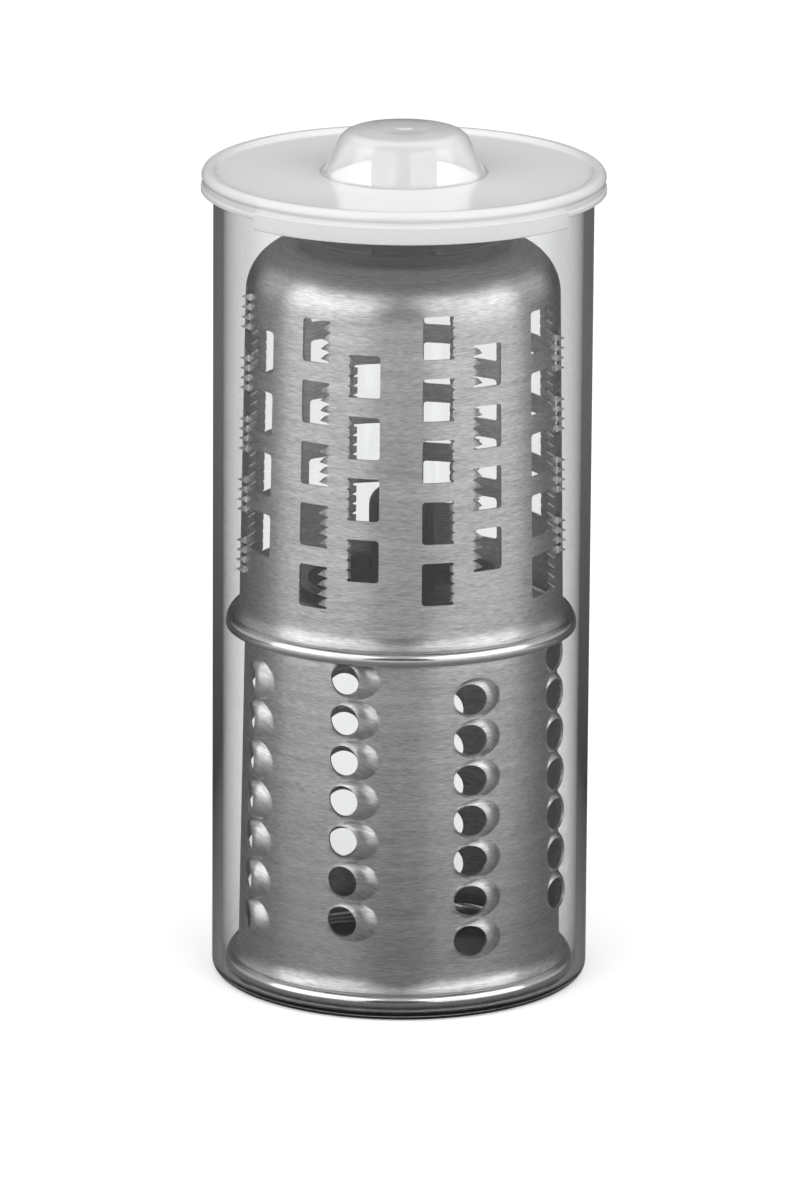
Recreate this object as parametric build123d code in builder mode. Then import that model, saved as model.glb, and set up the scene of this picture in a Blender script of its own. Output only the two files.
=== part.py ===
from build123d import *
import os
from math import cos, radians, sin

# Two rotary grater drums stacked in a clear storage canister with a push-fit lid.
# Millimetres, +Z up, origin at the centre of the canister's base, front towards -Y.
# Angles round the axis are counted from the front, positive towards +X.

# ---------------------------------------------------------------- canister
canister_radius = 49.0
canister_wall = 2.4
canister_floor = 1.8
canister_height = 211.9
base_corner_radius = 2.6
inner_corner_radius = 1.2
foot_recess_depth = 0.5
foot_recess_radius = 43.5
rim_flange_radius = 50.4
rim_flange_thickness = 2.0
rim_edge_radius = 0.6

# ---------------------------------------------------------------- lid
plate_height = 213.6
plate_thickness = 1.5
plate_radius = 47.9
rim_radius = 52.2
rim_crown = 0.9
skirt_bottom = 208.9
skirt_inner_radius = 50.75
skirt_groove_top = 211.9
skirt_groove_bottom = 210.3
skirt_groove_depth = 0.45
plug_outer_radius = 46.2
plug_inner_radius = 44.8
plug_bottom = 208.4
grip_radius = 53.0
grip_inner_radius = 51.1
grip_bottom = 206.5
grip_top = 211.2
grip_start_angle = -46.0
grip_sweep = 98.0
dome_height = 11.5
dome_cap_radius = 15.7
dome_cap_drop = 0.8
dome_base_radius = 20.9
dome_flare_radius = 1.4
dome_shoulder_radius = 5.0
dome_wall = 1.4
gate_mark_radius = 2.2
gate_mark_height = 0.25

# ---------------------------------------------------------------- drums
sheet = 0.6
drum_base_radius = 42.2
drum_top_radius = 40.4
shoulder_radius = 12.5
shoulder_height = 101.25
drum_length = 104.0
bead_radius = 2.05
flare_height = 8.0
lower_drum_base = 2.0
upper_drum_base = 93.8

# ---------------------------------------------------------------- square windows
window_width = 8.1
window_height = 11.2
window_corner_radius = 0.9
window_pitch = 16.1
window_top_row = 84.6
window_stagger = 1.06
window_sectors = 8
tall_column_angle = 12.7
tall_column_rows = 5
short_column_angle = 31.5
short_column_rows = 4
comb_teeth = 4
comb_pitch = 2.6
comb_tooth_width = 2.45
comb_tooth_length = 2.4
comb_root_depth = 0.45
comb_lean = 13.0

# ---------------------------------------------------------------- round teeth
hole_radius = 4.0
hole_pitch = 10.75
hole_rows = 7
hole_top_row = 87.1
# Angle of each column of round teeth, and how far its first tooth is below the top row.
hole_columns = (
    (-65.0, 5.375),
    (-20.0, 0.0),
    (25.0, 5.375),
    (71.0, 0.0),
    (116.0, 2.5),
    (161.0, 7.9),
    (201.5, 2.5),
    (248.0, 7.9),
)
hood_tilt = 14.0
hood_lift = 1.0
hood_mouth_radius = 4.5
hood_slope = 0.84
hood_depth = 3.0
hood_rim = 0.28
piercing_reach = 4.0

# ---------------------------------------------------------------- drive hubs
shell_mouth_radius = 25.1
spigot_radius = 25.0
collar_radius = 27.2
lip_radius = 28.1
lip_thickness = 1.1
recess_radius = 24.2
recess_depth = 3.8
hub_disc_thickness = 2.4
spigot_bottom = 97.0
post_radius = 8.5
post_height = 24.3
post_crown_radius = 4.8
post_bore_radius = 6.3
post_roof = 2.2
hub_wall = 2.2
lip_edge = 0.35
ring_outer_radius = 28.6
ring_thickness = 3.0
ring_chamfer = 0.8

os.makedirs("parts", exist_ok=True)


def wall_plane(angle, radius, height):
    """Plane on the drum's wall: x along the wall, y up, z straight out."""
    a = radians(angle)
    outward = Vector(sin(a), -cos(a), 0)
    return Plane(
        origin=outward * radius + Vector(0, 0, height),
        x_dir=(cos(a), sin(a), 0),
        z_dir=outward,
    )


def half_plane(angle):
    """Plane through the axis, with x pointing out at the given angle and y up."""
    a = radians(angle)
    return Plane(
        origin=(0, 0, 0), x_dir=(sin(a), -cos(a), 0), z_dir=(-cos(a), -sin(a), 0)
    )


def wall_radius(height):
    """Outer radius of the conical drum wall at a height above the drum's base."""
    taper = (drum_base_radius - drum_top_radius) / shoulder_height
    return drum_base_radius - taper * height


def drum_outline(base, inset):
    """Outline of a drum from its axis: cone, rounded shoulder and flat top."""
    top = base + shoulder_height - inset
    with BuildSketch(Plane.XZ) as outline:
        with BuildLine():
            wall = FilletPolyline(
                (0, top),
                (drum_top_radius - inset, top),
                (drum_base_radius - inset, base),
                radius=shoulder_radius - inset,
            )
            Polyline(wall @ 1, (0, base), (0, top))
        make_face()
    return outline.sketch


def window_places():
    """Angle, height and serrated side (+1 right, -1 left) of every window."""
    places = []
    for sector in range(window_sectors):
        turn = sector * 360 / window_sectors
        top = window_top_row + window_stagger * (-1) ** sector
        for row in range(tall_column_rows):
            places.append((turn + tall_column_angle, top - row * window_pitch, 1))
        for row in range(short_column_rows):
            height = top - window_pitch / 2 - row * window_pitch
            places.append((turn + short_column_angle, height, -1))
    return places


def comb_plane(angle, height, side, base):
    """Plane of a row of teeth: x up the window's edge, y out and over the window."""
    radius = wall_radius(height)
    edge = angle + side * Vector(radius, window_width / 2, 0).get_angle(Vector(1, 0, 0))
    radial = wall_plane(edge, radius, base + height)
    lean = radians(comb_lean)
    out = radial.z_dir * cos(lean) - radial.x_dir * (side * sin(lean))
    return Plane(origin=radial.origin, x_dir=(0, 0, 1), z_dir=Vector(0, 0, 1).cross(out))


def hole_places():
    """Angle and height of every round tooth, column by column from the top down."""
    places = []
    for angle, drop in hole_columns:
        for row in range(hole_rows):
            places.append((angle, hole_top_row - drop - row * hole_pitch))
    return places


def hood_plane(angle, height, base):
    """Plane of a round tooth's mouth: it faces out and a little to the left."""
    wall = wall_plane(angle, wall_radius(height) + hood_lift, base + height)
    tilt = radians(hood_tilt)
    facing = wall.z_dir * cos(tilt) - wall.x_dir * sin(tilt)
    across = wall.x_dir * cos(tilt) + wall.z_dir * sin(tilt)
    return Plane(origin=wall.origin, x_dir=across, z_dir=facing)


# ---------------------------------------------------------------- canister
with BuildPart() as canister:
    with BuildSketch(Plane.XZ):
        with BuildLine():
            Polyline(
                (0, foot_recess_depth),
                (foot_recess_radius, foot_recess_depth),
                (foot_recess_radius + foot_recess_depth, 0),
                (canister_radius, 0),
                (canister_radius, canister_height - rim_flange_thickness),
                (rim_flange_radius, canister_height - rim_flange_thickness),
                (rim_flange_radius, canister_height),
                (canister_radius - canister_wall, canister_height),
                (canister_radius - canister_wall, canister_floor),
                (0, canister_floor),
                close=True,
            )
        make_face()
        base_corner = vertices().group_by(Axis.Y)[0].sort_by(Axis.X)[-1]
        fillet(base_corner, radius=base_corner_radius)
        floor_level = (canister_floor - rim_edge_radius, canister_floor + rim_edge_radius)
        floor_corner = vertices().filter_by_position(Axis.Y, *floor_level).sort_by(Axis.X)[-1]
        fillet(floor_corner, radius=inner_corner_radius)
        fillet(vertices().group_by(Axis.Y)[-1], radius=rim_edge_radius)
    revolve(axis=Axis.Z)
canister.part.label = "canister"
export_step(canister.part, "parts/canister.step")


# ---------------------------------------------------------------- lid
def dome_outline(inset):
    """Half outline of the dome: shallow cap, rounded shoulder and sloping side."""
    cap = plate_height + dome_height - inset
    with BuildSketch(Plane.XZ) as outline:
        with BuildLine():
            TangentArc((0, cap), (dome_cap_radius - inset, cap - dome_cap_drop), tangent=(1, 0))
            Polyline(
                (dome_cap_radius - inset, cap - dome_cap_drop),
                (dome_base_radius - inset, plate_height),
                (dome_base_radius - inset, plate_height - plate_thickness),
                (0, plate_height - plate_thickness),
                (0, cap),
            )
        make_face()
        shoulder = vertices().sort_by_distance((dome_cap_radius - inset, cap - dome_cap_drop))[0]
        fillet(shoulder, radius=dome_shoulder_radius - inset)
    return outline.sketch


with BuildPart() as lid:
    with BuildSketch(Plane.XZ):
        with BuildLine():
            crown = ThreePointArc(
                (plate_radius, plate_height),
                ((plate_radius + rim_radius) / 2, plate_height + rim_crown),
                (rim_radius, plate_height - rim_crown),
            )
            Polyline(
                crown @ 1,
                (rim_radius, skirt_groove_top),
                (rim_radius - skirt_groove_depth, skirt_groove_top - skirt_groove_depth),
                (rim_radius - skirt_groove_depth, skirt_groove_bottom + skirt_groove_depth),
                (rim_radius, skirt_groove_bottom),
                (rim_radius, skirt_bottom),
                (skirt_inner_radius, skirt_bottom),
                (skirt_inner_radius, plate_height - plate_thickness),
                (plug_outer_radius, plate_height - plate_thickness),
                (plug_outer_radius, plug_bottom),
                (plug_inner_radius, plug_bottom),
                (plug_inner_radius, plate_height - plate_thickness),
                (0, plate_height - plate_thickness),
                (0, plate_height),
                crown @ 0,
            )
        make_face()
    revolve(axis=Axis.Z)
    with BuildSketch(half_plane(grip_start_angle)):
        with BuildLine():
            Polyline(
                (grip_inner_radius, grip_bottom),
                (grip_radius - rim_edge_radius, grip_bottom),
                (grip_radius, grip_bottom + rim_edge_radius),
                (grip_radius, grip_top - rim_edge_radius),
                (grip_radius - rim_edge_radius, grip_top),
                (grip_inner_radius, grip_top),
                close=True,
            )
        make_face()
    revolve(axis=Axis.Z, revolution_arc=grip_sweep)
    add(dome_outline(0))
    revolve(axis=Axis.Z)
    add(dome_outline(dome_wall))
    revolve(axis=Axis.Z, mode=Mode.SUBTRACT)
    plate_level = (plate_height - rim_edge_radius, plate_height + rim_edge_radius)
    plate_circles = edges().filter_by(GeomType.CIRCLE).filter_by_position(Axis.Z, *plate_level)
    fillet(plate_circles.sort_by(SortBy.RADIUS)[0], radius=dome_flare_radius)
    with BuildSketch(Plane.XY.offset(plate_height + dome_height - dome_wall / 2)):
        Circle(gate_mark_radius)
    extrude(amount=dome_wall / 2 + gate_mark_height)
lid.part.label = "lid"
export_step(lid.part, "parts/lid.step")

# ---------------------------------------------------------------- drum shells
def plain_shell(base):
    """Drum before it is pierced: drawn sheet, flared foot, rolled bead and the hub's mouth."""
    top = base + shoulder_height
    bead_centre = (drum_base_radius - sheet + bead_radius, base + bead_radius)
    with BuildPart() as shell:
        add(drum_outline(base, 0))
        revolve(axis=Axis.Z)
        with BuildSketch(Plane.XZ):
            with BuildLine():
                flare = TangentArc(
                    (wall_radius(flare_height), base + flare_height),
                    (bead_centre[0], base + 2 * bead_radius),
                    tangent=(0, -1),
                )
                Polyline(
                    flare @ 1,
                    bead_centre,
                    (drum_base_radius - sheet, base + bead_radius),
                    (drum_base_radius - sheet, base + flare_height),
                    flare @ 0,
                )
            make_face()
            with Locations(bead_centre):
                Circle(bead_radius)
        revolve(axis=Axis.Z)
        with BuildSketch(Plane.XY.offset(base)):
            Circle(drum_base_radius)
            Circle(drum_base_radius - sheet, mode=Mode.SUBTRACT)
        extrude(amount=bead_radius, mode=Mode.SUBTRACT)
        with BuildSketch(Plane.XY.offset(top)):
            Circle(shell_mouth_radius)
        extrude(amount=shoulder_radius, both=True, mode=Mode.SUBTRACT)
    return shell.part


with BuildPart() as upper_drum_shell:
    add(plain_shell(upper_drum_base))
    add(drum_outline(upper_drum_base, sheet))
    revolve(axis=Axis.Z, mode=Mode.SUBTRACT)
    for serrated_side in (1, -1):
        places = [place for place in window_places() if place[2] == serrated_side]
        windows = [
            wall_plane(angle, drum_base_radius, upper_drum_base + height)
            for angle, height, side in places
        ]
        with BuildSketch(*windows):
            Rectangle(window_width, window_height)
            plain_side = vertices().sort_by(Axis.X)[:: serrated_side][:2]
            fillet(plain_side, radius=window_corner_radius)
        extrude(amount=piercing_reach, both=True, mode=Mode.SUBTRACT)
    for serrated_side in (1, -1):
        places = [place for place in window_places() if place[2] == serrated_side]
        combs = [
            comb_plane(angle, height, side, upper_drum_base)
            for angle, height, side in places
        ]
        with BuildSketch(*combs):
            with GridLocations(comb_pitch, 0, comb_teeth, 1):
                Polygon(
                    (-comb_tooth_width / 2, -comb_root_depth),
                    (comb_tooth_width / 2, -comb_root_depth),
                    (comb_tooth_width / 2, 0),
                    (0, comb_tooth_length),
                    (-comb_tooth_width / 2, 0),
                    align=None,
                )
        extrude(amount=serrated_side * sheet)
upper_drum_shell.part.label = "upper_drum_shell"
export_step(upper_drum_shell.part, "parts/upper_drum_shell.step")

with BuildPart() as lower_drum_shell:
    add(plain_shell(lower_drum_base))
    hoods = [
        Location(hood_plane(angle, height, lower_drum_base))
        for angle, height in hole_places()
    ]
    with Locations(*hoods):
        Cone(
            hood_mouth_radius + hood_depth * hood_slope,
            hood_mouth_radius,
            hood_depth,
            align=(Align.CENTER, Align.CENTER, Align.MAX),
        )
    add(drum_outline(lower_drum_base, sheet))
    revolve(axis=Axis.Z, mode=Mode.SUBTRACT)
    with Locations(*hoods):
        with Locations((0, 0, -sheet)):
            Cone(
                hood_mouth_radius - hood_rim + hood_depth * hood_slope,
                hood_mouth_radius - hood_rim,
                hood_depth,
                align=(Align.CENTER, Align.CENTER, Align.MAX),
                mode=Mode.SUBTRACT,
            )
        Cylinder(hole_radius, 2 * piercing_reach, mode=Mode.SUBTRACT)
lower_drum_shell.part.label = "lower_drum_shell"
export_step(lower_drum_shell.part, "parts/lower_drum_shell.step")


# ---------------------------------------------------------------- drive hubs and their rings
def drive_hub(base):
    """Moulded hub: spigot through the shell, collar on it, recessed disc and post."""
    seat = base + shoulder_height
    top = base + drum_length
    disc_top = top - recess_depth
    disc_bottom = disc_top - hub_disc_thickness
    with BuildPart() as hub:
        with BuildSketch(Plane.XZ):
            with BuildLine():
                FilletPolyline(
                    (0, top + post_height),
                    (post_radius, top + post_height),
                    (post_radius, disc_top),
                    radius=post_crown_radius,
                )
                Polyline(
                    (post_radius, disc_top),
                    (recess_radius, disc_top),
                    (recess_radius, top),
                    (lip_radius - lip_edge, top),
                    (lip_radius, top - lip_edge),
                    (lip_radius, top - lip_thickness),
                    (collar_radius, top - lip_thickness),
                    (collar_radius, seat),
                    (spigot_radius, seat),
                    (spigot_radius, base + spigot_bottom),
                    (spigot_radius - hub_wall, base + spigot_bottom),
                    (spigot_radius - hub_wall, disc_bottom),
                    (post_bore_radius, disc_bottom),
                    (post_bore_radius, top + post_height - post_roof),
                    (0, top + post_height - post_roof),
                    (0, top + post_height),
                )
            make_face()
        revolve(axis=Axis.Z)
    return hub.part


def hub_ring(base):
    """Ring that clamps the shell's flat top against the collar from inside."""
    ring_top = base + shoulder_height - sheet
    with BuildPart() as ring:
        with BuildSketch(Plane.XY.offset(ring_top - ring_thickness)):
            Circle(ring_outer_radius)
            Circle(spigot_radius, mode=Mode.SUBTRACT)
        extrude(amount=ring_thickness)
        chamfer(edges().group_by(Axis.Z)[-1].sort_by(SortBy.RADIUS)[-1], length=ring_chamfer)
    return ring.part


with BuildPart() as upper_drive_hub:
    add(drive_hub(upper_drum_base))
upper_drive_hub.part.label = "upper_drive_hub"
export_step(upper_drive_hub.part, "parts/upper_drive_hub.step")

with BuildPart() as lower_drive_hub:
    add(drive_hub(lower_drum_base))
lower_drive_hub.part.label = "lower_drive_hub"
export_step(lower_drive_hub.part, "parts/lower_drive_hub.step")

with BuildPart() as upper_hub_ring:
    add(hub_ring(upper_drum_base))
upper_hub_ring.part.label = "upper_hub_ring"
export_step(upper_hub_ring.part, "parts/upper_hub_ring.step")

with BuildPart() as lower_hub_ring:
    add(hub_ring(lower_drum_base))
lower_hub_ring.part.label = "lower_hub_ring"
export_step(lower_hub_ring.part, "parts/lower_hub_ring.step")
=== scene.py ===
from math import atan2, cos, degrees, pi, radians, sin, sqrt, tan

import bmesh
import bpy
from mathutils import Matrix, Vector


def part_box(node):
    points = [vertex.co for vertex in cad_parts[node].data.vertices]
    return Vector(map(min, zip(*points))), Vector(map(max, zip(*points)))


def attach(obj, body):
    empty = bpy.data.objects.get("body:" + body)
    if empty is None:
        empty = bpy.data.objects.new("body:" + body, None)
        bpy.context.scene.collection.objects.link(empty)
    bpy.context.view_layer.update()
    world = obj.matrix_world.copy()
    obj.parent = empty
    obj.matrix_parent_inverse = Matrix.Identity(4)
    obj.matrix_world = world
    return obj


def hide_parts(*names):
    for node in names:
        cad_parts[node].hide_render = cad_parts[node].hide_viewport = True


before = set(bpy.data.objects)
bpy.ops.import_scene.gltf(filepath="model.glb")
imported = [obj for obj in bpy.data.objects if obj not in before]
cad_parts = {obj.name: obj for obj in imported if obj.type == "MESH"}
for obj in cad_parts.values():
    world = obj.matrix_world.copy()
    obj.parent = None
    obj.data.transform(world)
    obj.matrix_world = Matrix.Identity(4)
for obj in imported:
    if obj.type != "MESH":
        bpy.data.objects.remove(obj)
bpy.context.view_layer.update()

# The looks of a drum set: two pierced steel drums in a clear canister with a domed lid.
# Lengths are in millimetres until MM turns them into metres. Angles round the axis are
# counted from the front (-Y), positive towards +X, as in the CAD model.

MM = 0.001
canister_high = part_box("canister")[1]
lid_low, lid_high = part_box("lid")

# ---------------------------------------------------------------- driving sizes
CANISTER_TOP = canister_high.z / MM
FLANGE_RADIUS = canister_high.x / MM
FLANGE_THICKNESS = 2.0
CANISTER_RADIUS = 49.0
CANISTER_WALL = 2.4
CANISTER_FLOOR = 1.8
FOOT_RECESS_RADIUS = 43.5
FOOT_RECESS_DEPTH = 0.5
HEEL_ROUND, FLOOR_ROUND, FLANGE_ROUND = 2.6, 1.2, 0.4

# Corner radii that the mouldings share.
FINE_ROUND, SLIGHT_ROUND, SMALL_ROUND, MIDDLE_ROUND, WIDE_ROUND = 0.2, 0.25, 0.3, 0.5, 0.6

GATE_MARK_HEIGHT = 0.25
GATE_MARK_RADIUS = 2.2
GATE_MARK_ROUND, GATE_MARK_FOOT = 0.1, 0.3
DOME_HEIGHT = 11.5
DOME_CAP_RADIUS = 15.7
DOME_CAP_DROP = 0.8
DOME_BASE_RADIUS = 20.9
DOME_SHOULDER_RADIUS = 5.0
DOME_CREST_RADIUS, DOME_CREST_DROP, DOME_CREST_CURVE = 7.8, 0.1, 20.0
DOME_WALL = 1.4
DOME_FLARE = 1.4
PLATE_HEIGHT = lid_high.z / MM - GATE_MARK_HEIGHT - DOME_HEIGHT
PLATE_THICKNESS = 1.5
PLATE_RADIUS = 47.9
RIM_RADIUS = lid_high.x / MM
RIM_CROWN, RIM_STEP, RIM_ROLL = 0.9, 1.1, 0.9
RIM_EDGE_ROUND, RIM_TOP_ROUND = 1.2, 1.4
SKIRT_BOTTOM = 208.9
SKIRT_INNER_RADIUS = 50.75
GROOVE_TOP, GROOVE_BOTTOM, GROOVE_DEPTH = 211.9, 210.3, 0.45
PLUG_OUTER_RADIUS, PLUG_INNER_RADIUS, PLUG_BOTTOM = 46.2, 44.8, 208.4
HAIR = 0.002  # keeps the grip's facets inside the CAD model's box
GRIP_RADIUS = -lid_low.y / MM - HAIR
GRIP_BOTTOM, GRIP_LEDGE = lid_low.z / MM, 211.2
# Angles where the grip starts and ends, and half the angle over which the skirt steps there.
GRIP_START, GRIP_END, GRIP_END_TURN = -46.0, 52.0, 0.12

SHEET = 0.6
DRUM_BASE_RADIUS = 42.2
DRUM_TOP_RADIUS = 40.4
SHOULDER_HEIGHT = 101.25
SHOULDER_RADIUS = 12.5
SHELL_MOUTH_RADIUS = 25.1
BEAD_RADIUS, BEAD_TURN = 2.05, 315.0
FLARE_HEIGHT, FLARE_ANGLE = 8.0, 44.0
DRUM_LENGTH = 104.0
SECTOR = 45.0

WINDOW_WIDTH, WINDOW_HEIGHT, WINDOW_CORNER = 8.1, 11.2, 0.9
WINDOW_PITCH, WINDOW_TOP_ROW, WINDOW_STAGGER = 16.1, 84.6, 1.06
FIVE_ROW_ANGLE, FOUR_ROW_ANGLE = 12.7, 31.5
COMB_TEETH, COMB_PITCH, COMB_LENGTH, COMB_LEAN = 4, 2.6, 2.4, 13.0
COMB_BEND, COMB_ROOT = 0.5, 0.45

HOLE_RADIUS, HOLE_PITCH, HOLE_ROWS, HOLE_TOP_ROW = 4.05, 10.75, 7, 87.1
# Angle of each column of round teeth, and its drop below the top row in eighths of the pitch.
HOLE_COLUMNS = (
    (-65.0, 4), (-20.0, 0), (25.0, 4), (71.0, 0),
    (116.0, 2), (161.0, 6), (201.5, 2), (248.0, 6),
)
HOOD_TILT, HOOD_LIFT = 14.0, 1.0
HOOD_LONG, HOOD_HIGH, HOOD_SHIFT = 7.0, 5.3, 2.3

SPIGOT_RADIUS, SPIGOT_BOTTOM, HUB_WALL = 25.0, 97.0, 2.2
COLLAR_RADIUS, LIP_RADIUS, LIP_THICKNESS, LIP_ROUND = 27.2, 28.1, 1.1, 0.4
RECESS_RADIUS, RECESS_DEPTH, HUB_DISC = 24.2, 3.8, 2.4
POST_RADIUS, POST_HEIGHT, POST_CROWN = 8.5, 24.3, 4.8
POST_BORE, POST_ROOF, POST_BORE_ROUND = 6.3, 2.2, 0.8
RING_RADIUS, RING_THICKNESS, RING_ROUND = 28.6, 3.0, 0.8


# ---------------------------------------------------------------- outlines
def rounded(corners, steps=6):
    """Closed outline through (radius, height, corner radius) corners, corners as arcs."""
    outline = []
    for i, (x, y, r) in enumerate(corners):
        if r <= 0:
            outline.append((x, y))
            continue
        here = Vector((x, y))
        before = (Vector(corners[i - 1][:2]) - here).normalized()
        after = (Vector(corners[(i + 1) % len(corners)][:2]) - here).normalized()
        half = before.angle(after) / 2
        centre = here + (before + after).normalized() * (r / sin(half))
        start = here + before * (r / tan(half)) - centre
        end = here + after * (r / tan(half)) - centre
        turn = atan2(start.x * end.y - start.y * end.x, start.dot(end))
        for k in range(steps + 1):
            a = turn * k / steps
            x_on = start.x * cos(a) - start.y * sin(a)
            y_on = start.x * sin(a) + start.y * cos(a)
            outline.append((centre.x + x_on, centre.y + y_on))
    return outline


def arc(centre, radius, start, end, steps):
    """Points of an arc, angles in degrees."""
    points = []
    for k in range(steps + 1):
        a = radians(start + (end - start) * k / steps)
        points.append((centre[0] + radius * cos(a), centre[1] + radius * sin(a)))
    return points


def snap(value):
    """Angle or run rounded so that the grid's equal rows and columns match."""
    return round(value, 4)


def place(angle, radius, height):
    """Point in metres at an angle from the front, a radius and a height in millimetres."""
    a = radians(angle)
    return Vector((sin(a) * radius * MM, -cos(a) * radius * MM, height * MM))


# ---------------------------------------------------------------- mesh helpers
MOULDING_SEGMENTS, HUB_SEGMENTS = 256, 128
SHARP_ANGLE = 35
NO_RADIUS, WELD_DISTANCE = 1e-6, 1e-7


def face_outward(mesh):
    """Turns every face so that its normal points out of the piece."""
    shape = bmesh.new()
    shape.from_mesh(mesh)
    bmesh.ops.remove_doubles(shape, verts=shape.verts, dist=WELD_DISTANCE)
    bmesh.ops.recalc_face_normals(shape, faces=shape.faces)
    shape.to_mesh(mesh)
    shape.free()


def new_piece(name, points, faces, materials, body, node, slots=None):
    """Piece that stands for a CAD node: smooth, and sharp where faces meet steeply."""
    mesh = bpy.data.meshes.new(name)
    mesh.from_pydata([tuple(p) for p in points], [], faces)
    for material in materials:
        mesh.materials.append(material)
    if slots:
        mesh.polygons.foreach_set("material_index", slots)
    face_outward(mesh)
    mesh.shade_smooth()
    mesh.set_sharp_from_angle(angle=radians(SHARP_ANGLE))
    piece = bpy.data.objects.new(name, mesh)
    bpy.context.scene.collection.objects.link(piece)
    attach(piece, body)
    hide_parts(node)
    return piece


def turned(outline_at, angles):
    """Points and faces of a closed outline carried round the axis, one ring an angle."""
    points, faces, rings = [], [], []
    on_axis = {}
    for angle in angles:
        ring = []
        for i, (radius, height) in enumerate(outline_at(angle)):
            if radius < NO_RADIUS:
                if i not in on_axis:
                    on_axis[i] = len(points)
                    points.append(place(0, 0, height))
                ring.append(on_axis[i])
            else:
                ring.append(len(points))
                points.append(place(angle, radius, height))
        rings.append(ring)
    for a, b in zip(rings, rings[1:] + rings[:1]):
        for i in range(len(a)):
            j = (i + 1) % len(a)
            face = []
            for v in (a[i], b[i], b[j], a[j]):
                if v not in face:
                    face.append(v)
            if len(face) > 2:
                faces.append(face)
    return points, faces


def lathe(outline, segments):
    """Points and faces of a closed outline turned round the axis."""
    return turned(lambda angle: outline, [360 * k / segments for k in range(segments)])


# ---------------------------------------------------------------- materials
def new_material(name):
    material = bpy.data.materials.new(name)
    material.use_nodes = True
    tree = material.node_tree
    shader = tree.nodes["Principled BSDF"]
    return material, tree, shader


def link(tree, a, b):
    tree.links.new(a, b)


def math_node(tree, operation, a, b=None):
    node = tree.nodes.new("ShaderNodeMath")
    node.operation = operation
    for socket, value in zip(node.inputs, (a, b)):
        if value is None:
            continue
        if isinstance(value, (int, float)):
            socket.default_value = value
        else:
            link(tree, value, socket)
    return node.outputs[0]


def object_place(tree):
    """Sockets of the object-space x, y, z and of the distance from the axis."""
    place_node = tree.nodes.new("ShaderNodeTexCoord")
    split = tree.nodes.new("ShaderNodeSeparateXYZ")
    link(tree, place_node.outputs["Object"], split.inputs[0])
    x, y, z = split.outputs
    x_squared, y_squared = math_node(tree, "MULTIPLY", x, x), math_node(tree, "MULTIPLY", y, y)
    return x, y, z, math_node(tree, "SQRT", math_node(tree, "ADD", x_squared, y_squared))


def turned_grain(tree, along, across, detail=3.0):
    """Noise drawn out round the axis, as turning and brushing leave it."""
    x, y, z, radius = object_place(tree)
    lengthways = math_node(tree, "SUBTRACT", z, radius)
    joined = tree.nodes.new("ShaderNodeCombineXYZ")
    link(tree, math_node(tree, "MULTIPLY", x, along), joined.inputs[0])
    link(tree, math_node(tree, "MULTIPLY", y, along), joined.inputs[1])
    link(tree, math_node(tree, "MULTIPLY", lengthways, across), joined.inputs[2])
    noise = tree.nodes.new("ShaderNodeTexNoise")
    noise.inputs["Scale"].default_value = 1.0
    noise.inputs["Detail"].default_value = detail
    noise.inputs["Roughness"].default_value = 0.6
    link(tree, joined.outputs[0], noise.inputs["Vector"])
    return noise.outputs["Fac"]


def ramp(tree, factor, stops):
    """Colour ramp through (position, value) stops of grey, or (position, colour)."""
    node = tree.nodes.new("ShaderNodeValToRGB")
    while len(node.color_ramp.elements) < len(stops):
        node.color_ramp.elements.new(0.5)
    for element, (position, value) in zip(node.color_ramp.elements, stops):
        element.position = position
        colour = value if isinstance(value, tuple) else (value, value, value)
        element.color = (*colour, 1)
    link(tree, factor, node.inputs[0])
    return node.outputs["Color"]


def mix(tree, factor, first, second):
    """Blend of two colours, or shades of grey, by a factor."""
    node = tree.nodes.new("ShaderNodeMix")
    node.data_type = "RGBA"
    link(tree, factor, node.inputs[0])
    for socket, value in ((node.inputs[6], first), (node.inputs[7], second)):
        if isinstance(value, (int, float)):
            socket.default_value = (value, value, value, 1)
        else:
            link(tree, value, socket)
    return node.outputs[2]


def brushed_steel():
    """Stainless sheet brushed round the drum."""
    material, tree, shader = new_material("brushed_stainless")
    shader.inputs["Metallic"].default_value = 1.0
    grain = turned_grain(tree, along=420, across=3400)
    broad = turned_grain(tree, along=40, across=500, detail=2.0)
    fine_share = 0.7
    fine_part = math_node(tree, "MULTIPLY", grain, fine_share)
    broad_part = math_node(tree, "MULTIPLY", broad, 1 - fine_share)
    mixed = math_node(tree, "ADD", fine_part, broad_part)
    colour = ramp(tree, mixed, [(0.36, (0.43, 0.425, 0.42)), (0.64, (0.77, 0.765, 0.76))])
    link(tree, colour, shader.inputs["Base Color"])
    rough = ramp(tree, mixed, [(0.34, 0.42), (0.66, 0.31)])
    link(tree, rough, shader.inputs["Roughness"])
    shader.inputs["Anisotropic"].default_value = 0.72
    shader.inputs["Anisotropic Rotation"].default_value = 0.25
    tangent = tree.nodes.new("ShaderNodeTangent")
    tangent.direction_type = "RADIAL"
    tangent.axis = "Z"
    link(tree, tangent.outputs[0], shader.inputs["Tangent"])
    bump = tree.nodes.new("ShaderNodeBump")
    bump.inputs["Strength"].default_value = 0.6
    bump.inputs["Distance"].default_value = 0.00004
    link(tree, grain, bump.inputs["Height"])
    link(tree, bump.outputs[0], shader.inputs["Normal"])
    return material


def polished_steel():
    """The rolled bead, burnished bright by the rolling tool."""
    material, tree, shader = new_material("polished_stainless")
    shader.inputs["Metallic"].default_value = 1.0
    grain = turned_grain(tree, along=60, across=2400)
    link(tree, ramp(tree, grain, [(0.3, 0.62), (0.7, 0.74)]), shader.inputs["Base Color"])
    link(tree, ramp(tree, grain, [(0.3, 0.20), (0.7, 0.12)]), shader.inputs["Roughness"])
    return material


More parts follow.
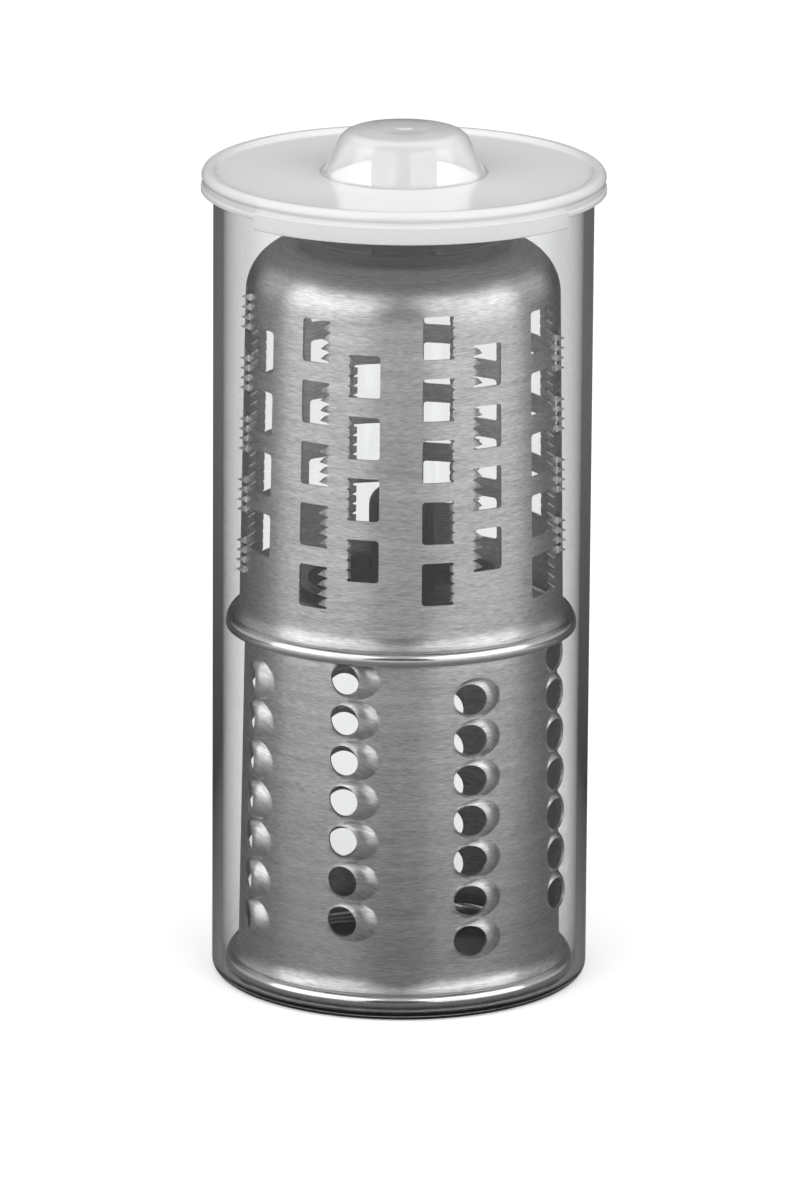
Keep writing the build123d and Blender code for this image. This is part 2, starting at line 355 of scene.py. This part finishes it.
def clear_plastic():
    """Clear moulded plastic of the canister."""
    material, _, shader = new_material("clear_moulded_plastic")
    shader.inputs["Base Color"].default_value = (0.90, 0.905, 0.905, 1)
    shader.inputs["Transmission Weight"].default_value = 1.0
    shader.inputs["Roughness"].default_value = 0.0
    shader.inputs["IOR"].default_value = 1.49
    shader.inputs["Specular IOR Level"].default_value = 0.3
    return material


def milky_plastic():
    """Milky lid moulding: glossy on top, with a thin plate and a thicker rim; the rim is coloured darker
    than the plate as painted shade.
    """
    material, tree, shader = new_material("milky_moulded_plastic")
    radius = object_place(tree)[3]
    decimetres = math_node(tree, "MULTIPLY", radius, 10)
    # Painted shade: the rim's grey is darker than the plate's, to tone down how brightly it catches the
    # light.
    plate_to_shaded_rim = [(0.474, 0.80), (0.486, 0.72)]
    link(tree, ramp(tree, decimetres, plate_to_shaded_rim), shader.inputs["Base Color"])
    shader.inputs["Roughness"].default_value = 0.1
    shader.inputs["IOR"].default_value = 1.5
    shader.inputs["Transmission Weight"].default_value = 0.25
    return material


def dome_plastic():
    """The dome's thin polished wall, clearer than the plate round it."""
    material, _, shader = new_material("clear_dome_plastic")
    shader.inputs["Base Color"].default_value = (0.95, 0.95, 0.95, 1)
    shader.inputs["Roughness"].default_value = 0.05
    shader.inputs["IOR"].default_value = 1.49
    shader.inputs["Transmission Weight"].default_value = 0.64
    return material


def dark_plastic():
    """Near-black glossy moulding of the hubs."""
    material, tree, shader = new_material("dark_moulded_plastic")
    shader.inputs["IOR"].default_value = 1.5
    shader.inputs["Specular IOR Level"].default_value = 0.25
    noise = tree.nodes.new("ShaderNodeTexNoise")
    noise.inputs["Scale"].default_value = 900
    noise.inputs["Detail"].default_value = 4
    mottle = noise.outputs["Fac"]
    link(tree, ramp(tree, mottle, [(0.35, 0.012), (0.65, 0.022)]), shader.inputs["Base Color"])
    link(tree, ramp(tree, mottle, [(0.35, 0.08), (0.65, 0.13)]), shader.inputs["Roughness"])
    return material


BRUSHED, POLISHED = brushed_steel(), polished_steel()
CLEAR, MILKY, DOME, DARK = clear_plastic(), milky_plastic(), dome_plastic(), dark_plastic()


# ---------------------------------------------------------------- canister
def build_canister():
    inner = CANISTER_RADIUS - CANISTER_WALL
    outline = rounded([
        (0, FOOT_RECESS_DEPTH, 0),
        (FOOT_RECESS_RADIUS, FOOT_RECESS_DEPTH, FINE_ROUND),
        (FOOT_RECESS_RADIUS + FOOT_RECESS_DEPTH, 0, FINE_ROUND),
        (CANISTER_RADIUS, 0, HEEL_ROUND),
        (CANISTER_RADIUS, CANISTER_TOP - FLANGE_THICKNESS, FLANGE_ROUND),
        (FLANGE_RADIUS, CANISTER_TOP - FLANGE_THICKNESS, MIDDLE_ROUND),
        (FLANGE_RADIUS, CANISTER_TOP, WIDE_ROUND),
        (inner, CANISTER_TOP, WIDE_ROUND),
        (inner, CANISTER_FLOOR, FLOOR_ROUND),
        (0, CANISTER_FLOOR, 0),
    ])
    points, faces = lathe(outline, MOULDING_SEGMENTS)
    return new_piece("canister_body", points, faces, [CLEAR], "canister", "canister")


# ---------------------------------------------------------------- lid
def lid_outline(angle):
    """Closed outline of the lid from the dome's top out to the skirt and back inside."""
    in_grip = GRIP_START <= angle <= GRIP_END
    outer = GRIP_RADIUS if in_grip else RIM_RADIUS
    groove = RIM_RADIUS - GROOVE_DEPTH
    foot = GRIP_BOTTOM if in_grip else SKIRT_BOTTOM
    flange_top = GRIP_LEDGE if in_grip else GROOVE_BOTTOM
    cap = PLATE_HEIGHT + DOME_HEIGHT
    under = PLATE_HEIGHT - PLATE_THICKNESS
    corners = [
        (0, cap + GATE_MARK_HEIGHT, 0),
        (GATE_MARK_RADIUS, cap + GATE_MARK_HEIGHT, GATE_MARK_ROUND),
        (GATE_MARK_RADIUS + GATE_MARK_FOOT, cap, GATE_MARK_FOOT),
        (DOME_CREST_RADIUS, cap - DOME_CREST_DROP, DOME_CREST_CURVE),
        (DOME_CAP_RADIUS, cap - DOME_CAP_DROP, DOME_SHOULDER_RADIUS),
        (DOME_BASE_RADIUS, PLATE_HEIGHT, DOME_FLARE),
        (PLATE_RADIUS, PLATE_HEIGHT, MIDDLE_ROUND),
        (PLATE_RADIUS + RIM_STEP, PLATE_HEIGHT + RIM_CROWN, RIM_EDGE_ROUND),
        (RIM_RADIUS - RIM_ROLL, PLATE_HEIGHT + RIM_CROWN, RIM_TOP_ROUND),
        (RIM_RADIUS, PLATE_HEIGHT - RIM_CROWN, RIM_EDGE_ROUND),
        (groove, GROOVE_TOP, SLIGHT_ROUND),
        (groove, flange_top, FINE_ROUND),
        (outer, flange_top - SLIGHT_ROUND, SMALL_ROUND),
        (outer, foot, SMALL_ROUND),
        (SKIRT_INNER_RADIUS, foot, FINE_ROUND),
        (SKIRT_INNER_RADIUS, under, MIDDLE_ROUND),
        (PLUG_OUTER_RADIUS, under, MIDDLE_ROUND),
        (PLUG_OUTER_RADIUS, PLUG_BOTTOM, SMALL_ROUND),
        (PLUG_INNER_RADIUS, PLUG_BOTTOM, SMALL_ROUND),
        (PLUG_INNER_RADIUS, under, MIDDLE_ROUND),
        (DOME_BASE_RADIUS - DOME_WALL, under, WIDE_ROUND),
        (DOME_CAP_RADIUS - DOME_WALL, cap - DOME_WALL - DOME_CAP_DROP, DOME_SHOULDER_RADIUS - DOME_WALL),
        (0, cap - DOME_WALL, 0),
    ]
    return rounded(corners)


def build_lid():
    step = 360 / MOULDING_SEGMENTS
    angles = [-180 + step * k for k in range(MOULDING_SEGMENTS)]
    for end in (GRIP_START, GRIP_END):
        angles = [a for a in angles if abs(a - end) > step / 2]
        angles += [end - GRIP_END_TURN, end + GRIP_END_TURN]
    angles.sort()
    points, faces = turned(lid_outline, angles)
    dome_edge = (DOME_BASE_RADIUS + DOME_FLARE) * MM
    in_dome = []
    for face in faces:
        far = max(sqrt(points[v].x ** 2 + points[v].y ** 2) for v in face)
        in_dome.append(1 if far < dome_edge else 0)
    return new_piece("lid_moulding", points, faces, [MILKY, DOME], "lid", "lid",
                     slots=in_dome)


# ---------------------------------------------------------------- drum wall
# Steps of the drum grids: along the cone, the shoulder and the flat in millimetres, round it in degrees.
CONE_GRID, SHOULDER_GRID, FLAT_GRID = 1.2, 1.1, 1.0
WINDOW_GRID, WALL_GRID, BETWEEN_COLUMNS_GRID = 2.0, 1.9, 2.2
MEAN_RADIUS = (DRUM_BASE_RADIUS + DRUM_TOP_RADIUS) / 2
TAPER = atan2(DRUM_BASE_RADIUS - DRUM_TOP_RADIUS, SHOULDER_HEIGHT)
SHOULDER_TURN = pi / 2 - TAPER
CONE_LENGTH = SHOULDER_HEIGHT / cos(TAPER) - SHOULDER_RADIUS * tan(SHOULDER_TURN / 2)
SHOULDER_LENGTH = SHOULDER_RADIUS * SHOULDER_TURN
FLAT_START = DRUM_TOP_RADIUS - SHOULDER_RADIUS * tan(SHOULDER_TURN / 2)
WALL_LENGTH = CONE_LENGTH + SHOULDER_LENGTH + FLAT_START - SHELL_MOUTH_RADIUS


def wall_at(run):
    """Radius, height and outward normal of the drum's outer face, run mm up from its base."""
    on_cone = min(run, CONE_LENGTH)
    radius = DRUM_BASE_RADIUS - on_cone * sin(TAPER)
    height = on_cone * cos(TAPER)
    a = TAPER
    if run > CONE_LENGTH:
        a = TAPER + min((run - CONE_LENGTH) / SHOULDER_RADIUS, SHOULDER_TURN)
        radius += SHOULDER_RADIUS * (cos(a) - cos(TAPER))
        height += SHOULDER_RADIUS * (sin(a) - sin(TAPER))
    radius -= max(run - CONE_LENGTH - SHOULDER_LENGTH, 0)
    return radius, height, cos(a), sin(a)


def on_wall(base, angle, run, lift=0.0):
    """Point on the drum's outer face, or lifted off it along its normal."""
    radius, height, out, up = wall_at(run)
    return place(angle, radius + out * lift, base + height + up * lift)


class Sheet:
    """Faces of the drum's outer skin on a grid of angles and runs up the wall."""

    def __init__(self, base):
        self.base = base
        self.points = []
        self.faces = []
        self.polished = []
        self.index = {}

    def point(self, position):
        self.points.append(position)
        return len(self.points) - 1

    def at(self, angle, run):
        key = (snap(angle % 360), snap(run))
        if key not in self.index:
            self.index[key] = self.point(on_wall(self.base, angle, run))
        return self.index[key]

    def face(self, vertices, polished=0):
        self.faces.append(vertices)
        self.polished.append(polished)

    def curl(self, angles):
        """The wall flares out from its lowest run, and its edge is rolled into a bead."""
        radius, height = wall_at(FLARE_HEIGHT)[:2]
        centre = (DRUM_BASE_RADIUS - SHEET + BEAD_RADIUS, BEAD_RADIUS)
        bend = (centre[0] - radius) / (1 - cos(radians(FLARE_ANGLE)))
        flare = arc((radius + bend, height), bend, 180, 180 + FLARE_ANGLE, steps=8)[1:]
        roll = arc(centre, BEAD_RADIUS, 90, 90 - BEAD_TURN, steps=30)[1:]
        rows = [[self.at(angle, FLARE_HEIGHT) for angle in angles]]
        for radius, height in flare + roll:
            rows.append([self.point(place(angle, radius, self.base + height)) for angle in angles])
        for i, (upper, lower) in enumerate(zip(rows, rows[1:])):
            for k in range(len(angles)):
                n = (k + 1) % len(angles)
                self.face([upper[k], lower[k], lower[n], upper[n]], 1 if i >= len(flare) else 0)


def finish_sheet(sheet, name, body, node):
    """Gives the skin its thickness and makes it a piece."""
    piece = new_piece(name, sheet.points, sheet.faces, [BRUSHED, POLISHED], body, node,
                      slots=sheet.polished)
    solid = piece.modifiers.new("sheet", "SOLIDIFY")
    solid.thickness = SHEET * MM
    solid.offset = -1
    graph = bpy.context.evaluated_depsgraph_get()
    thick = bpy.data.meshes.new_from_object(piece.evaluated_get(graph))
    piece.modifiers.clear()
    piece.data = thick
    thick.set_sharp_from_angle(angle=radians(SHARP_ANGLE))
    return piece


def frange(start, end, step):
    """Evenly spaced values from start up to, not including, end."""
    count = max(1, round((end - start) / step))
    return [start + (end - start) * k / count for k in range(count)]


def grid_rows(start, end, step):
    """Evenly spaced runs for the grid."""
    return {snap(run) for run in frange(start, end, step)}


def upper_rows(start):
    """Grid rows over the shoulder and the flat top, from a run on the cone or above it."""
    flat_start = CONE_LENGTH + SHOULDER_LENGTH
    rows = grid_rows(start, flat_start, SHOULDER_GRID) | grid_rows(flat_start, WALL_LENGTH, FLAT_GRID)
    return rows | {snap(WALL_LENGTH)}


# ---------------------------------------------------------------- square-window drum
def window_columns():
    """Angles of the grid, and the angle spans of the windows with their serrated side."""
    half = degrees(WINDOW_WIDTH / 2 / MEAN_RADIUS)
    corner = degrees(WINDOW_CORNER / MEAN_RADIUS)
    root = degrees(COMB_ROOT / MEAN_RADIUS)
    angles, spans = [], []
    for k in range(round(360 / SECTOR)):
        turn = k * SECTOR
        a0, a1 = turn + FIVE_ROW_ANGLE - half, turn + FIVE_ROW_ANGLE + half
        b0, b1 = turn + FOUR_ROW_ANGLE - half, turn + FOUR_ROW_ANGLE + half
        angles += [a0, a0 + corner] + frange(a0 + corner, a1, WINDOW_GRID)[1:]
        angles += [a1] + frange(a1 + root, b0 - root, WALL_GRID) + [b0 - root]
        angles += frange(b0, b1 - corner, WINDOW_GRID) + [b1 - corner]
        angles += frange(b1, turn + SECTOR + FIVE_ROW_ANGLE - half, WALL_GRID)
        rise = WINDOW_STAGGER * (-1) ** k
        spans.append((a0, a1, 1, rise))
        spans.append((b0, b1, -1, rise))
    return sorted(set(snap(a % 360) for a in angles)), spans


def build_window_drum(name, body, node, base):
    sheet = Sheet(base)
    angles, spans = window_columns()
    edges = [WINDOW_HEIGHT / 2, WINDOW_HEIGHT / 2 - WINDOW_CORNER]
    teeth = [COMB_PITCH * (k - COMB_TEETH) / 2 for k in range(2 * COMB_TEETH + 1)]
    offsets = sorted(set(teeth + edges + [-e for e in edges]))
    five = [WINDOW_TOP_ROW - k * WINDOW_PITCH for k in range(5)]
    four = [WINDOW_TOP_ROW - (k + 0.5) * WINDOW_PITCH for k in range(4)]
    runs = set()
    for centre in five + four:
        for rise in (WINDOW_STAGGER, -WINDOW_STAGGER):
            runs |= {snap(centre + rise + offset) for offset in offsets}
    low, high = min(runs), max(runs)
    runs |= grid_rows(FLARE_HEIGHT, low, CONE_GRID) | grid_rows(high, CONE_LENGTH, CONE_GRID)
    runs = sorted(runs | upper_rows(CONE_LENGTH))

    holes = []
    for start, end, side, rise in spans:
        for centre in five if side > 0 else four:
            holes.append((start, end, side, centre + rise))

    root = degrees(COMB_ROOT / MEAN_RADIUS)

    def in_hole(angle, run):
        for start, end, side, centre in holes:
            if abs(run - centre) < WINDOW_HEIGHT / 2 and (angle - start) % 360 < end - start:
                return True
            comb_start = end if side > 0 else start - root
            if abs(run - centre) < teeth[-1] and (angle - comb_start) % 360 < root:
                return True
        return False

    for i, angle in enumerate(angles):
        following = angles[(i + 1) % len(angles)]
        middle = angle + ((following - angle) % 360) / 2
        for low_run, high_run in zip(runs, runs[1:]):
            if in_hole(middle, (low_run + high_run) / 2):
                continue
            sheet.face([sheet.at(angle, low_run), sheet.at(following, low_run),
                        sheet.at(following, high_run), sheet.at(angle, high_run)])
    for start, end, side, centre in holes:
        round_corners(sheet, start if side > 0 else end, side, centre)
        raise_comb(sheet, end if side > 0 else start, side, centre, teeth, runs)
    sheet.curl(angles)
    return finish_sheet(sheet, name, body, node)


def round_corners(sheet, edge, side, centre):
    """Fills the two corners on a window's plain side with rounded ones."""
    corner = degrees(WINDOW_CORNER / MEAN_RADIUS) * side
    steps = 4
    for up in (1, -1):
        top = centre + up * WINDOW_HEIGHT / 2
        tip = sheet.at(edge, top)
        arc_points = [sheet.at(edge + corner, top)]
        for k in range(1, steps):
            a = pi / 2 * k / steps
            angle = edge + corner * (1 - sin(a))
            run = top - up * WINDOW_CORNER * (1 - cos(a))
            arc_points.append(sheet.point(on_wall(sheet.base, angle, run)))
        arc_points.append(sheet.at(edge, top - up * WINDOW_CORNER))
        for a, b in zip(arc_points, arc_points[1:]):
            sheet.face([tip, a, b] if side * up < 0 else [tip, b, a])


def raise_comb(sheet, edge, side, centre, offsets, runs):
    """Pointed teeth along a window's edge, bent out of the wall, with notches cut into it."""
    steps, slack = 3, 0.001
    full_turn = radians(90 - COMB_LEAN)
    length = COMB_ROOT + COMB_LENGTH
    profile = [(0, 0, COMB_ROOT)]
    for k in range(1, steps + 1):
        a = full_turn * k / steps
        profile.append((COMB_BEND * sin(a), COMB_BEND * (1 - cos(a)), COMB_ROOT + COMB_BEND * a))
    straight = length - profile[-1][2]
    tip_over = profile[-1][0] + straight * cos(full_turn)
    tip_lift = profile[-1][1] + straight * sin(full_turn)
    root_angle = edge + side * degrees(COMB_ROOT / MEAN_RADIUS)

    def at(over, offset, lift):
        angle = edge - side * degrees(over / MEAN_RADIUS)
        return sheet.point(on_wall(sheet.base, angle, centre + offset, lift))

    for k in range(1, len(offsets), 2):
        middle = offsets[k]
        spine = [at(over, middle, lift) for over, lift, along in profile]
        tip = at(tip_over, middle, tip_lift)
        for notch in (offsets[k - 1], offsets[k + 1]):
            flank = []
            for over, lift, along in profile:
                width = (notch - middle) * (1 - along / length)
                flank.append(at(over, middle + width, lift))
            low, high = sorted((centre + notch, centre + middle))
            between = [run for run in runs if low - slack < run < high + slack]
            foot = [sheet.at(root_angle, run) for run in between]
            near, far = (spine, flank) if notch < middle else (flank, spine)
            sheet.face(foot + [near[0], far[0]])
            for i in range(steps):
                sheet.face([spine[i], spine[i + 1], flank[i + 1], flank[i]])
            sheet.face([spine[-1], tip, flank[-1]])


# ---------------------------------------------------------------- round-tooth drum
# The cell of the grid round each hole: its sides in millimetres from the hole's centre, and its parts.
CELL_LEFT, CELL_RIGHT, CELL_COLUMNS, CELL_ROWS = -6.4, 10.8, 14, 8
HOOD_FALL = 1.8
RIM_POINTS = 2 * (CELL_COLUMNS + CELL_ROWS)


def build_tooth_drum(name, body, node, base):
    sheet = Sheet(base)
    cell_step = (CELL_RIGHT - CELL_LEFT) / CELL_COLUMNS
    row_step = HOLE_PITCH / CELL_ROWS
    top_run = HOLE_TOP_ROW + HOLE_PITCH / 2
    row_count = HOLE_ROWS * CELL_ROWS + max(drop for centre, drop in HOLE_COLUMNS)
    lattice = [snap(top_run - row_step * k) for k in range(row_count + 1)]
    runs = set(lattice) | grid_rows(FLARE_HEIGHT, lattice[-1], CONE_GRID)
    runs = sorted(runs | upper_rows(top_run))

    angles, cells = [], []
    next_centres = [centre for centre, drop in HOLE_COLUMNS[1:]] + [HOLE_COLUMNS[0][0] + 360]
    for (centre, drop), beyond in zip(HOLE_COLUMNS, next_centres):
        columns = []
        for k in range(CELL_COLUMNS + 1):
            columns.append(centre + degrees((CELL_LEFT + cell_step * k) / MEAN_RADIUS))
        angles += columns
        angles += frange(columns[-1], beyond + degrees(CELL_LEFT / MEAN_RADIUS), BETWEEN_COLUMNS_GRID)
        for row in range(HOLE_ROWS):
            first = drop + row * CELL_ROWS
            cells.append((centre, columns, lattice[first:first + CELL_ROWS + 1]))
    angles = sorted(set(snap(a % 360) for a in angles))

    taken = set()
    for centre, columns, levels in cells:
        for column in columns[:-1]:
            for level in levels[1:]:
                taken.add((snap(column % 360), level))
    for i, angle in enumerate(angles):
        following = angles[(i + 1) % len(angles)]
        for low_run, high_run in zip(runs, runs[1:]):
            if (angle, low_run) in taken:
                continue
            sheet.face([sheet.at(angle, low_run), sheet.at(following, low_run),
                        sheet.at(following, high_run), sheet.at(angle, high_run)])
    for centre, columns, levels in cells:
        raise_hood(sheet, centre, columns, levels, row_step)
    sheet.curl(angles)
    return finish_sheet(sheet, name, body, node)


def hood_edge(a):
    """Distance from the hole's centre to the hood's outline in direction a."""
    c, s = cos(a), sin(a)
    quad = (c / HOOD_LONG) ** 2 + (s / HOOD_HIGH) ** 2
    linear = -2 * c * HOOD_SHIFT / HOOD_LONG ** 2
    constant = (HOOD_SHIFT / HOOD_LONG) ** 2 - 1
    return (-linear + sqrt(linear * linear - 4 * quad * constant)) / (2 * quad)


def raise_hood(sheet, centre, columns, levels, row_step):
    """One round tooth: a tilted mouth with the wall pressed up behind it."""
    half = CELL_ROWS // 2
    run = levels[half]
    border = []
    for k in range(half):
        border.append((CELL_COLUMNS, k))
    for k in range(CELL_COLUMNS):
        border.append((CELL_COLUMNS - k, half))
    for k in range(CELL_ROWS):
        border.append((0, half - k))
    for k in range(CELL_COLUMNS):
        border.append((k, -half))
    for k in range(half):
        border.append((CELL_COLUMNS, -half + k))
    outer = [sheet.at(columns[c], levels[half - r]) for c, r in border]
    lean = tan(radians(HOOD_TILT))

    def at(x, y, lift):
        return sheet.point(on_wall(sheet.base, centre + degrees(x / MEAN_RADIUS), run + y, lift))

    rings = []
    hood_steps = 7
    for step in range(hood_steps + 1):
        t = step / hood_steps
        ring = []
        for k in range(RIM_POINTS):
            a = 2 * pi * k / RIM_POINTS
            distance = HOLE_RADIUS + (hood_edge(a) - HOLE_RADIUS) * t
            rim_lift = max(HOOD_LIFT + HOLE_RADIUS * cos(a) * lean, 0)
            ring.append(at(distance * cos(a), distance * sin(a), rim_lift * (1 - t ** HOOD_FALL)))
        rings.append(ring)
    flat_steps = 2
    for step in range(1, flat_steps + 1):
        t = step / (flat_steps + 1)
        ring = []
        for k, (c, r) in enumerate(border):
            a = 2 * pi * k / RIM_POINTS
            inner = hood_edge(a)
            x = inner * cos(a) * (1 - t) + radians(columns[c] - centre) * MEAN_RADIUS * t
            y = inner * sin(a) * (1 - t) + row_step * r * t
            ring.append(at(x, y, 0))
        rings.append(ring)
    rings.append(outer)
    for inner, beyond in zip(rings, rings[1:]):
        for k in range(RIM_POINTS):
            n = (k + 1) % RIM_POINTS
            sheet.face([inner[k], beyond[k], beyond[n], inner[n]])


# ---------------------------------------------------------------- drive hubs
def build_hub(name, body, node, base):
    seat = base + SHOULDER_HEIGHT
    top = base + DRUM_LENGTH
    disc_top = top - RECESS_DEPTH
    disc_bottom = disc_top - HUB_DISC
    outline = rounded([
        (0, top + POST_HEIGHT, 0),
        (POST_RADIUS, top + POST_HEIGHT, POST_CROWN),
        (POST_RADIUS, disc_top, WIDE_ROUND),
        (RECESS_RADIUS, disc_top, WIDE_ROUND),
        (RECESS_RADIUS, top, SMALL_ROUND),
        (LIP_RADIUS, top, LIP_ROUND),
        (LIP_RADIUS, top - LIP_THICKNESS, SLIGHT_ROUND),
        (COLLAR_RADIUS, top - LIP_THICKNESS, FINE_ROUND),
        (COLLAR_RADIUS, seat, 0),
        (SPIGOT_RADIUS, seat, 0),
        (SPIGOT_RADIUS, base + SPIGOT_BOTTOM, SMALL_ROUND),
        (SPIGOT_RADIUS - HUB_WALL, base + SPIGOT_BOTTOM, SMALL_ROUND),
        (SPIGOT_RADIUS - HUB_WALL, disc_bottom, MIDDLE_ROUND),
        (POST_BORE, disc_bottom, SMALL_ROUND),
        (POST_BORE, top + POST_HEIGHT - POST_ROOF, POST_BORE_ROUND),
        (0, top + POST_HEIGHT - POST_ROOF, 0),
    ])
    points, faces = lathe(outline, HUB_SEGMENTS)
    return new_piece(name, points, faces, [DARK], body, node)


def build_ring(name, body, node, base):
    top = base + SHOULDER_HEIGHT - SHEET
    outline = rounded([
        (SPIGOT_RADIUS, top, 0),
        (RING_RADIUS, top, RING_ROUND),
        (RING_RADIUS, top - RING_THICKNESS, LIP_ROUND),
        (SPIGOT_RADIUS, top - RING_THICKNESS, SMALL_ROUND),
    ])
    points, faces = lathe(outline, HUB_SEGMENTS)
    return new_piece(name, points, faces, [DARK], body, node)


build_canister()
build_lid()
upper_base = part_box("upper_drum_shell")[0].z / MM
lower_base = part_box("lower_drum_shell")[0].z / MM
build_window_drum("upper_drum_sheet", "upper_drum", "upper_drum_shell", upper_base)
build_tooth_drum("lower_drum_sheet", "lower_drum", "lower_drum_shell", lower_base)
build_hub("upper_hub", "upper_drum", "upper_drive_hub", upper_base)
build_hub("lower_hub", "lower_drum", "lower_drive_hub", lower_base)
build_ring("upper_ring", "upper_drum", "upper_hub_ring", upper_base)
build_ring("lower_ring", "lower_drum", "lower_hub_ring", lower_base)


# ---------------------------------------------------------------- floor, light and camera
DRUM_SIDE = 0.042  # metres from the axis to the drums' sides
FLOOR_SIDE = 6.0  # half the floor's width, in metres
FLOOR_WHITE = 0.93
LIGHT_AIM = 0.11  # metres above the floor


def mirrored_ray(tree):
    """Socket that is 1 for a ray that a glossy surface mirrors, with no diffuse bounce on its way."""
    path = tree.nodes.new("ShaderNodeLightPath")
    undiffused = math_node(tree, "LESS_THAN", path.outputs["Diffuse Depth"], 0.5)
    glossy = math_node(tree, "GREATER_THAN", path.outputs["Glossy Depth"], 0.5)
    return math_node(tree, "MULTIPLY", undiffused, glossy)


def build_floor():
    """Floor that the camera sees plain and pale.

    What steel mirrors and what clear plastic lets through is shaded by two maps laid out for the
    front view, so from other sides the canister looks darker than it should.
    """
    mesh = bpy.data.meshes.new("floor")
    corners = [(x * FLOOR_SIDE, y * FLOOR_SIDE, 0) for x, y in ((-1, -1), (1, -1), (1, 1), (-1, 1))]
    mesh.from_pydata(corners, [], [(0, 1, 2, 3)])
    floor = bpy.data.objects.new("floor", mesh)
    material, tree, shader = new_material("pale_floor")
    x, y, _, radius = object_place(tree)
    past_drum = math_node(tree, "SUBTRACT", math_node(tree, "ABSOLUTE", x), DRUM_SIDE)
    behind = math_node(tree, "MAXIMUM", y, 0.01)
    sideways = math_node(tree, "DIVIDE", past_drum, behind)
    # Painted shade seen through the clear plastic: darker off to the sides of the drums, which gives the
    # canister its dark edges.
    through = ramp(tree, sideways, [(0.04, 0.84), (0.25, 0.72), (0.62, 0.52), (0.88, 0.05)])
    # Painted reflection: the floor that steel mirrors is dark near the object, lighter further out, and
    # dark behind it.
    in_front = ramp(tree, y, [(0.0, 1.0), (0.15, 0.15)])
    near = ramp(tree, radius, [(0.12, 0.16), (0.62, 0.66)])
    mirrored = math_node(tree, "MULTIPLY", near, in_front)
    indirect = mix(tree, mirrored_ray(tree), through, mirrored)
    camera_ray = tree.nodes.new("ShaderNodeLightPath").outputs["Is Camera Ray"]
    link(tree, mix(tree, camera_ray, indirect, FLOOR_WHITE), shader.inputs["Base Color"])
    shader.inputs["Roughness"].default_value = 0.8
    shader.inputs["Specular IOR Level"].default_value = 0.2
    mesh.materials.append(material)
    bpy.context.scene.collection.objects.link(floor)


def soft_box(name, azimuth, elevation, distance, width, height, power):
    """Rectangular area light that faces the middle of the object."""
    lamp = bpy.data.lights.new(name, "AREA")
    lamp.shape = "RECTANGLE"
    lamp.size, lamp.size_y = width, height
    lamp.energy = power
    light = bpy.data.objects.new(name, lamp)
    a, e = radians(azimuth), radians(elevation)
    away = Vector((sin(a) * cos(e), -cos(a) * cos(e), sin(e)))
    light.location = away * distance + Vector((0, 0, LIGHT_AIM))
    light.rotation_euler = away.to_track_quat("Z", "Y").to_euler()
    bpy.context.scene.collection.objects.link(light)


def build_light():
    """Two large soft boxes with a dim gap at the camera, in a white studio.

    Glossy surfaces mirror a dim studio instead, with a lit ceiling and lit walls left and right.
    """
    world = bpy.data.worlds.new("studio")
    bpy.context.scene.world = world
    world.use_nodes = True
    world.cycles.sampling_method = "NONE"
    tree = world.node_tree
    direction = tree.nodes.new("ShaderNodeTexCoord")
    split = tree.nodes.new("ShaderNodeSeparateXYZ")
    link(tree, direction.outputs["Generated"], split.inputs[0])
    sideways, _, upwards = split.outputs
    ceiling = ramp(tree, upwards, [(0.42, 0.04), (0.66, 0.85)])
    beside = ramp(tree, math_node(tree, "ABSOLUTE", sideways), [(0.55, 0.0), (0.8, 1.0)])
    above_floor = ramp(tree, upwards, [(0.02, 0.0), (0.2, 0.8)])
    dim_studio = math_node(tree, "MAXIMUM", ceiling, math_node(tree, "MULTIPLY", beside, above_floor))
    link(tree, mix(tree, mirrored_ray(tree), 1.0, dim_studio), tree.nodes["Background"].inputs["Color"])
    for name, azimuth in (("softbox_left", -56), ("softbox_right", 54)):
        soft_box(name, azimuth, elevation=28, distance=1.4, width=1.9, height=1.4, power=15)


CAMERA_PLACE = (-0.0003, -2.4, 0.7628)
CAMERA_DOWN, CAMERA_ROLL = radians(15.452), 0.00676
SENSOR_WIDTH, LENS, CLIP_END = 36.0, 431.1, 20


def build_camera():
    """Long lens, a little above the object, looking down on the lid."""
    camera = bpy.data.cameras.new("camera")
    camera.sensor_fit = "HORIZONTAL"
    camera.sensor_width = SENSOR_WIDTH
    camera.lens = LENS
    camera.clip_end = CLIP_END
    holder = bpy.data.objects.new("camera", camera)
    tilt = Matrix.Rotation(pi / 2 - CAMERA_DOWN, 4, "X") @ Matrix.Rotation(CAMERA_ROLL, 4, "Z")
    holder.matrix_world = Matrix.Translation(CAMERA_PLACE) @ tilt
    bpy.context.scene.collection.objects.link(holder)
    bpy.context.scene.camera = holder


build_floor()
build_light()
build_camera()
bpy.context.scene.view_settings.view_transform = "Standard"
